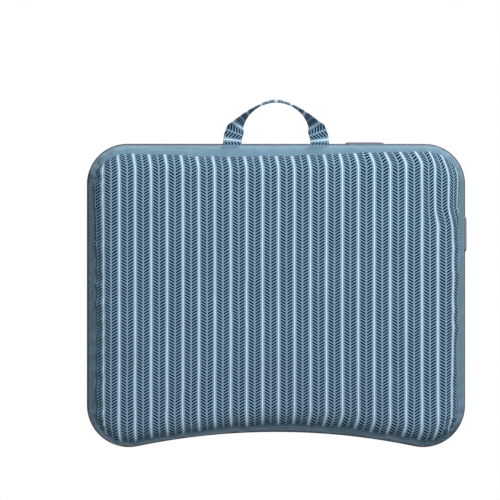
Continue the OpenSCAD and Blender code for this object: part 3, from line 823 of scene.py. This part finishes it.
class LAPDESK_OT_side_strip(bpy.types.Operator):
    """Roll the side strip round the backing board and gather it down to the face seam"""

    bl_idname = "lapdesk.side_strip"
    bl_label = "Side strip"

    def execute(self, context):
        size = sizes()
        outline = Outline(size)
        seam = np.array([size["seam_in"], size["seam_height"]])
        crease = np.array(CREASE)
        out = np.array([seam[1] - crease[1], crease[0] - seam[0]]) / np.linalg.norm(seam - crease)

        def profile(s, p):
            """A small roll over the backing board's edge, a groove, the bulging strip, and a
            tuck into the seam. Gathers stand across the strip, deepest beside its seams."""
            shift, corner, dip = seam_shift(outline, s, p), cornering(p), groove(p)
            whole = outline.whole
            fine, wide, low = (ripple(s, whole, 7, 15, 11), ripple(s, whole, 16, 42, 12),
                               ripple(s, whole, 9, 22, 13))
            crease_at = 0.5 + 0.16 * ripple(s, whole, 130, 420, 21)
            crease_depth = 0.55 * ripple(s, whole, 90, 300, 22)
            rows = []
            for t in np.radians(np.linspace(0, 180, 13)):
                rows.append((ROLL_IN - (1.3 + 0.08 * wide) * math.sin(t),
                             ROLL_Z + ROLL_R * math.cos(t), 0))
            rows += [(ROLL_IN + 0.6, CUSHION_TOP - 0.45, 0), (ROLL_IN + 0.8, CUSHION_TOP - 1, 0)]
            for t in np.linspace(0, 1, 42):
                mid = crease + t * (seam - crease)
                bulge = size["side_bulge"] * math.sin(math.pi * t) ** 0.85
                gather = size["pucker"] * (0.55 + 0.75 * corner) * (
                    fine * math.exp(-(1 - t) * 5) * min(1, (1 - t) * 12)
                    + 0.8 * low * math.exp(-t * 6) * min(1, t * 12)
                    + 0.9 * wide * math.sin(math.pi * t))
                fold = crease_depth * np.exp(-((t - crease_at) / 0.13) ** 2)
                bulge = bulge + gather + fold - dip * math.exp(-(1 - t) * 16)
                rows.append((mid[0] + bulge * out[0] + t * shift, mid[1] + bulge * out[1],
                             t * SEAM_FORWARD))
            for t in (0.5, 1.2, 2.0):
                rows.append((seam[0] - (dip + t) * out[0] + shift, seam[1] - (dip + t) * out[1],
                             SEAM_FORWARD))
            return rows

        points, uv = swept(outline, profile, STRIP_STEP)
        strip = make_piece("cushion_side", [grid(points, uv=uv, round_columns=True)], sharp=75)
        solid = strip.modifiers.new("Cloth thickness", "SOLIDIFY")
        solid.thickness, solid.offset = CLOTH / 1000, -1
        finish_with(strip, plain_cloth())
        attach(strip, "desk")
        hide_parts("cushion_side_strip")
        finish_nodes(strip.material_slots[0].material, "cover_tape")
        return {"FINISHED"}


def coons(sides):
    """A sheet between four curves that join end to end: the sum of the two sheets ruled between
    opposite curves, less the one through the four corners."""
    bottom, right, top, left = sides
    u = np.linspace(0, 1, len(bottom))[None, :, None]
    v = np.linspace(0, 1, len(right))[:, None, None]
    across = (1 - v) * bottom[None] + v * top[None]
    up = (1 - u) * left[:, None] + u * right[:, None]
    corners = ((1 - u) * (1 - v) * bottom[0] + u * (1 - v) * bottom[-1]
               + (1 - u) * v * top[0] + u * v * top[-1])
    return across + up - corners


def shoulder_table(run, drop):
    """Quarter ellipse of the face's shoulder, and the allowance that is turned up inside the
    seam, against the distance along them from the level part: (distance, how far out, how
    high), and the distance of the seam."""
    a = np.linspace(0, np.pi / 2, 400)
    out, up = run * np.sin(a), drop * (1 - np.cos(a))
    seam = np.hypot(np.diff(out), np.diff(up)).sum()
    out, up = np.append(out, [run - 0.9, run - 1.8]), np.append(up, [drop + 1.2, drop + 3])
    far = np.concatenate([[0], np.cumsum(np.hypot(np.diff(out), np.diff(up)))])
    return far, out, up, seam


def face_sheet(size, spacing):
    """The cushion's face as a sheet of cloth. It is drawn flat first, where its stripes are
    straight, and each of its points beyond the level part then moves in and up over the
    shoulder by its distance along the quarter ellipse. Returns points, flat places, the share
    of the way out to the seam, past which lies the allowance, and the nearest places and
    distances along the board's edge."""
    outline = Outline(size)
    far, out, up, seam = shoulder_table(size["shoulder_run"],
                                        size["seam_height"] - CROWN + FLAT_DEPTH)
    count = len(outline.points)
    s_all = outline.far[:-1]
    shift = seam_shift(outline, s_all, outline.points)
    level = size["seam_in"] + size["shoulder_run"] + shift
    rim = outline.points - (level - far[-1])[:, None] * outline.outward
    corner = [int(np.searchsorted(s_all, outline.starts[k] + frac * (
        outline.starts[k + 1] - outline.starts[k]))) for k, frac in
        ((0, 0.56), (2, 0.5), (4, 0.5), (6, 0.44))]

    def run_of(first, last, number):
        index = np.arange(first, last + 1 if last > first else last + 1 + count) % count
        line = rim[index]
        gone = np.concatenate([[0], np.cumsum(np.linalg.norm(np.diff(line, axis=0), axis=1))])
        want = np.linspace(0, gone[-1], number)
        return np.stack([np.interp(want, gone, line[:, k]) for k in (0, 1)], 1)

    across, up_count = 2 * int(-LEFT_X / spacing) + 1, 2 * int(REAR_Y / spacing) + 1
    right = run_of(corner[0], corner[1], up_count)
    top = run_of(corner[1], corner[2], across)[::-1]
    left = run_of(corner[2], corner[3], up_count)[::-1]
    bottom = run_of(corner[3], corner[0], across)
    flat = coons([bottom, right, top, left])

    q = flat.reshape(-1, 2)
    nearest = np.empty(len(q), int)
    for first in range(0, len(q), 500):
        part = q[first:first + 500]
        gap = ((part[:, None] - outline.points[None, ::2]) ** 2).sum(2)
        nearest[first:first + 500] = 2 * gap.argmin(1)
    n = outline.outward[nearest]
    inset = ((outline.points[nearest] - q) * n).sum(1)
    beyond = np.clip(level[nearest] - inset, 0, far[-1])
    plan = q - n * (beyond - np.interp(beyond, far, out))[:, None]
    ring = outline.points - level[:, None] * outline.outward
    order = np.argsort(np.arctan2(ring[:, 1], ring[:, 0]))
    ring_a, ring_r = np.arctan2(ring[:, 1], ring[:, 0])[order], np.hypot(*ring.T)[order]
    reach = np.hypot(*q.T) / np.interp(np.arctan2(q[:, 1], q[:, 0]), ring_a, ring_r,
                                       period=2 * np.pi)
    z = np.where(beyond > 0, CROWN, CROWN * np.clip(reach, 0, 1) ** 3) - FLAT_DEPTH
    z = np.maximum(z, 0) + np.interp(beyond, far, up)
    points = np.column_stack([plan[:, 0], plan[:, 1] - SEAM_FORWARD, z])
    shape = flat.shape[:2]
    return (points.reshape(*shape, 3), flat, (beyond / seam).reshape(shape),
            outline.points[nearest].reshape(*shape, 2), outline.far[nearest].reshape(shape))


def refined(values):
    """A grid of values with a new one between each two, along rows and columns, by the weights
    -1, 9, 9 and -1 sixteenths of the four nearest."""
    for _ in range(2):
        ends = np.concatenate([2 * values[:1] - values[1:2], values,
                               2 * values[-1:] - values[-2:-1]])
        between = (9 * (ends[1:-2] + ends[2:-1]) - ends[:-3] - ends[3:]) / 16
        both = np.empty((len(values) * 2 - 1, *values.shape[1:]))
        both[::2], both[1::2] = values, between
        values = both.swapaxes(0, 1)
    return values


def normals_of(points):
    """Unit normals of a grid: the cross product of its slopes along rows and columns."""
    found = np.cross(np.gradient(points, axis=0), np.gradient(points, axis=1))
    return found / np.maximum(np.linalg.norm(found, axis=-1, keepdims=True), 1e-9)


def pulled_askew(flat, rim):
    """How far the stripes stray sideways from straight lines. The cloth was pulled to one side
    as it was sewn to the rear, towards the middle at the front, and it slipped inwards at the
    rear of one side."""
    x, y = flat[..., 0], flat[..., 1]
    near = smooth((rim - 0.3) / 0.7)
    rear = smooth((y - 60) / 60) * (3 + 5 * smooth((-x - 60) / 110))
    front = smooth((-y - 60) / 60) * (4.5 * smooth((10 - x) / 80) - 1.2 * smooth(x / 60))
    slip = 5.5 * smooth((y - 82) / 28) * smooth((-x - 168) / 30)
    return near * (rear + front) + slip


def cloth_relief(size, outline, rim, edge, s):
    """Small shapes of the sewn face along its normal, in millimetres: gathers that fade away
    from the seam, the groove beside the seam, and three short pleats in each front corner."""
    from_seam = (1 - rim) * 34
    whole = outline.whole
    near = from_seam.clip(0)
    gathers = size["pucker"] * (0.7 * ripple(s, whole, 9, 20, 11) * np.exp(-near / 7)
                                + 0.9 * ripple(s, whole, 18, 44, 12) * np.exp(-near / 15))
    soft = 0.3 * ripple(s, whole, 60, 150, 14) * np.exp(-(from_seam / 25).clip(0))
    seam = -groove(edge) * np.exp(-(from_seam.clip(0) / 1.9) ** 2)
    pleats = 0
    for middle in (outline.starts[0] + 0.62 * (outline.starts[1] - outline.starts[0]),
                   outline.starts[6] + 0.38 * (outline.starts[7] - outline.starts[6])):
        for offset, depth in ((-13, 1.3), (-1, 2.0), (11, 1.5)):
            gone = (s - middle - offset + whole / 2) % whole - whole / 2
            fold = np.exp(-(gone / 2.4) ** 2) - 0.8 * np.exp(-((gone - 5) / 3.2) ** 2)
            pleats = pleats - depth * fold * smooth((rim - 0.45) / 0.35)
    relief = gathers * smooth(from_seam / 3) + soft + seam + pleats
    return np.where(relief < 0, 0.85 * np.tanh(relief / 0.85), relief)


def puff(points, held, pressure, out, back, frames=20):
    """A pass of cloth simulation with no gravity, over a grid in millimetres: the sheet is held
    at its seam, pressed outwards by the filling against the surface that the cushion stands on,
    and has a little cloth to spare, so it wrinkles. Returns each point's move. What it moves
    along its own normal is held between back and out, and what it moves sideways to back."""
    trial = make_piece("trial_sheet", [grid(points)])
    table = bpy.data.objects.new("table", bpy.data.meshes.new("table"))
    table.data.from_pydata([(-1, -1, -5e-4), (1, -1, -5e-4), (1, 1, -5e-4), (-1, 1, -5e-4)], [],
                           [(0, 1, 2, 3)])
    bpy.context.scene.collection.objects.link(table)
    table.modifiers.new("Collision", "COLLISION")
    group = trial.vertex_groups.new(name="sewn")
    group.add([int(k) for k in np.flatnonzero(held)], 1.0, "REPLACE")
    cloth = trial.modifiers.new("Cloth", "CLOTH")
    settings = cloth.settings
    settings.vertex_group_mass = group.name
    settings.quality = 6
    settings.mass = 0.25
    settings.tension_stiffness = settings.compression_stiffness = 25
    settings.shear_stiffness = 8
    settings.bending_stiffness = 0.3
    settings.use_pressure = True
    settings.uniform_pressure_force = pressure
    settings.shrink_min = -0.015
    settings.effector_weights.gravity = 0
    cloth.collision_settings.distance_min = 0.0005
    scene = bpy.context.scene
    for number in range(1, frames + 1):
        scene.frame_set(number)
    shown = trial.evaluated_get(bpy.context.evaluated_depsgraph_get())
    moved = np.empty(points.size)
    shown.data.vertices.foreach_get("co", moved)
    bpy.data.objects.remove(trial)
    bpy.data.objects.remove(table)
    scene.frame_set(1)
    move = 1000 * moved.reshape(points.shape) - points
    normals = normals_of(points)
    along = (move * normals).sum(-1, keepdims=True)
    aside = move - along * normals
    along = np.where(along > 0, out * np.tanh(along / out), back * np.tanh(along / back))
    size = np.linalg.norm(aside, axis=-1, keepdims=True)
    return along * normals + aside * back * np.tanh(size / back) / np.maximum(size, 1e-9)


class LAPDESK_OT_cushion_face(bpy.types.Operator):
    """Stretch the herringbone face over the filling and sew it to the side strip"""

    bl_idname = "lapdesk.cushion_face"
    bl_label = "Cushion face"

    def execute(self, context):
        size = sizes()
        points, flat, rim, edge, s = face_sheet(size, FACE_STEP)
        points += refined(puff(points[::2, ::2], rim[::2, ::2].ravel() > 0.97, 1.5, 2.2, 0.3))
        relief = cloth_relief(size, Outline(size), rim, edge, s)
        points += relief[..., None] * normals_of(points)
        points[..., 2] = points[..., 2].clip(0)
        uv = np.stack([flat[..., 0] - pulled_askew(flat, rim) + 2.4, flat[..., 1]], -1)
        face = make_piece("cushion_face_cloth", [grid(points, uv=uv)], sharp=75)
        solid = face.modifiers.new("Cloth thickness", "SOLIDIFY")
        solid.thickness, solid.offset = CLOTH / 1000, -1
        finish_with(face, bpy.data.materials.get("herringbone_cloth") or herringbone_cloth())
        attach(face, "desk")
        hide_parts("cushion_face")
        return {"FINISHED"}


class LAPDESK_OT_inside(bpy.types.Operator):
    """Give the bag and filling inside the cushion their finishes"""

    bl_idname = "lapdesk.inside"
    bl_label = "Bag and filling"

    def execute(self, context):
        finish_nodes(white_cloth("non_woven_bag", "#e9e7e0", 0.9), "inner_bag", "inner_bag_top")
        finish_nodes(bead_filling(), "cushion_fill")
        return {"FINISHED"}


class LAPDESK_OT_fastenings(bpy.types.Operator):
    """Give the staples and screws their finishes"""

    bl_idname = "lapdesk.fastenings"
    bl_label = "Staples and screws"

    def execute(self, context):
        finish_nodes(steel("galvanised_wire", 0.35), "tape_staples", "handle_staples",
                     "corner_band_staples")
        finish_nodes(steel("zinc_plated_screw", 0.28), "backing_screws")
        return {"FINISHED"}


def area_lamp(name, place, wide, power):
    """A square soft lamp at a place, turned towards the object's origin."""
    lamp = bpy.data.lights.new(name, "AREA")
    lamp.shape, lamp.size, lamp.energy = "SQUARE", wide, power
    holder = bpy.data.objects.new(name, lamp)
    holder.visible_camera = False
    turn = (-Vector(place)).to_track_quat("-Z", "Y").to_matrix().to_4x4()
    holder.matrix_world = Matrix.Translation(place) @ turn
    bpy.context.scene.collection.objects.link(holder)


# The camera looks straight up at the underside, as the photograph does at the front copy: its
# place, and the width that it sees at a distance, all in metres
CAMERA_PLACE = (0.0309, 0.0541, -3.0)
SEEN_WIDTH, SEEN_FROM = 0.595, 3.05
FLOOR_HALF = 6
# Strength of the pale surroundings as they light the desk; they are seen at strength 1
SURROUND = 0.22


class LAPDESK_OT_stage(bpy.types.Operator):
    """Set the floor, the lamps, the plain pale surroundings and the camera"""

    bl_idname = "lapdesk.stage"
    bl_label = "Stage"

    def execute(self, context):
        floor_mesh = bpy.data.meshes.new("floor")
        floor_mesh.from_pydata([(x * FLOOR_HALF, y * FLOOR_HALF, 0) for x, y in
                                ((-1, -1), (1, -1), (1, 1), (-1, 1))], [], [(0, 1, 2, 3)])
        floor = bpy.data.objects.new("floor", floor_mesh)
        bpy.context.scene.collection.objects.link(floor)
        paper = bpy.data.materials.new("pale_paper")
        paper.use_nodes = True
        tree = paper.node_tree
        tree.nodes.clear()
        path, side = add(tree, "LightPath"), add(tree, "NewGeometry")
        seen = add(tree, "Math", {0: path.outputs["Is Camera Ray"], 1: add(tree, "Math", {
            0: 1.0, 1: side.outputs["Backfacing"]}, operation="SUBTRACT")}, operation="MULTIPLY")
        sheet = add(tree, "BsdfDiffuse", {"Color": linear("#f4f4f3")})
        shown = add(tree, "MixShader", {0: seen, 1: add(tree, "BsdfTransparent"), 2: sheet})
        add(tree, "OutputMaterial", {"Surface": shown})
        floor_mesh.materials.append(paper)

        world = bpy.data.worlds.new("studio")
        world.use_nodes = True
        tree = world.node_tree
        tree.nodes.clear()
        path = add(tree, "LightPath")
        seen = add(tree, "Math", {0: path.outputs["Is Camera Ray"],
                                  1: path.outputs["Is Glossy Ray"]}, operation="MAXIMUM")
        seen = add(tree, "Math", {0: seen, 1: path.outputs["Is Transmission Ray"]},
                   operation="MAXIMUM")
        strength = add(tree, "MapRange", {0: seen, 1: 0.0, 2: 1.0, 3: SURROUND, 4: 1.0})
        back = add(tree, "Background", {"Color": (1, 1, 1, 1), "Strength": strength})
        add(tree, "OutputWorld", {"Surface": back})
        bpy.context.scene.world = world

        area_lamp("upper_rear_lamp", (-0.4, 1.6, 1.7), 0.8, 42)
        area_lamp("upper_front_lamp", (1.0, -1.4, 1.4), 1.4, 15)
        area_lamp("lower_rear_lamp", (-0.6, 1.35, -1.75), 0.9, 51)

        camera = bpy.data.cameras.new("camera")
        camera.sensor_width, camera.lens = 36, 36 * SEEN_FROM / SEEN_WIDTH
        camera.clip_end = 60
        eye = bpy.data.objects.new("camera", camera)
        eye.matrix_world = (Matrix.Translation(CAMERA_PLACE)
                            @ Matrix.Rotation(math.pi, 4, "Y"))
        bpy.context.scene.collection.objects.link(eye)
        bpy.context.scene.camera = eye
        bpy.context.scene.view_settings.view_transform = "Standard"
        return {"FINISHED"}


OPERATORS = (LAPDESK_OT_stage, LAPDESK_OT_boards, LAPDESK_OT_edge_band, LAPDESK_OT_corner_band,
             LAPDESK_OT_handle, LAPDESK_OT_side_strip, LAPDESK_OT_cushion_face,
             LAPDESK_OT_inside, LAPDESK_OT_fastenings)


class LAPDESK_PT_sidebar(bpy.types.Panel):
    """Sizes, colours and steps of the lap desk"""

    bl_idname = "LAPDESK_PT_sidebar"
    bl_label = "Lap desk"
    bl_space_type = "VIEW_3D"
    bl_region_type = "UI"
    bl_category = "Lap desk"

    def draw(self, context):
        for group in (context.scene.lap_desk_sizes, context.scene.lap_desk_colours):
            box = self.layout.box()
            for key in type(group).__annotations__:
                box.prop(group, key)
        for operator in OPERATORS:
            self.layout.operator(operator.bl_idname)


CLASSES = (LapDeskSizes, LapDeskColours, *OPERATORS, LAPDESK_PT_sidebar)


def register():
    """Registers the classes and their settings on the scene."""
    for cls in CLASSES:
        bpy.utils.register_class(cls)
    bpy.types.Scene.lap_desk_sizes = bpy.props.PointerProperty(type=LapDeskSizes)
    bpy.types.Scene.lap_desk_colours = bpy.props.PointerProperty(type=LapDeskColours)


def unregister():
    """Takes back what register did."""
    del bpy.types.Scene.lap_desk_colours
    del bpy.types.Scene.lap_desk_sizes
    for cls in reversed(CLASSES):
        bpy.utils.unregister_class(cls)


def main():
    """Registers the classes and runs every step in order."""
    register()
    for operator in OPERATORS:
        group, name = operator.bl_idname.split(".")
        getattr(getattr(bpy.ops, group), name)()
    bpy.context.view_layer.update()


if __name__ == "__main__":
    main()
